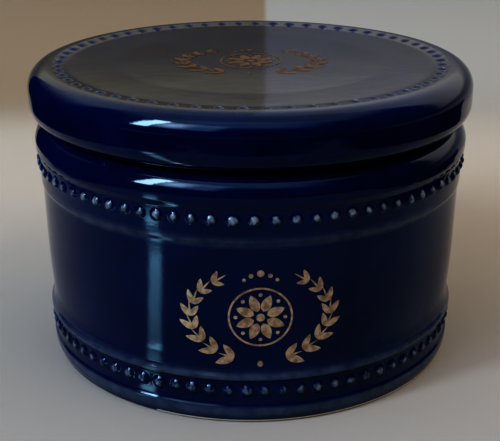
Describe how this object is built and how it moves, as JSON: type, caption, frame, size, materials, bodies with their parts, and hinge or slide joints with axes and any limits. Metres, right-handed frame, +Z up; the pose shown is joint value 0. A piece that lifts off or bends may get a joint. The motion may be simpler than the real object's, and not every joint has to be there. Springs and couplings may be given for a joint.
{
  "type": "lidded ceramic cheese jar",
  "caption": "Squat round cheese jar of dark blue glazed ceramic, shut by its flat lid, with rings of small beads round the wall and the lid and a plain gilt ornament.",
  "frame": {"origin": "middle of the jar's foot, on the surface it stands on", "axes": "+Z up the axis of the jar, towards the lid; the decorated front faces -Y and +X is to its right as seen from the front"},
  "size_m": [0.0998, 0.0998, 0.0663],
  "materials": {
    "jar_glaze": "glossy deep cobalt glaze on stoneware, with an unglazed foot",
    "lid_glaze": "glossy deep cobalt glaze on stoneware"
  },
  "bodies": {
    "root": {"jar": "jar_glaze", "lid": "lid_glaze"}
  },
  "joints": []
}
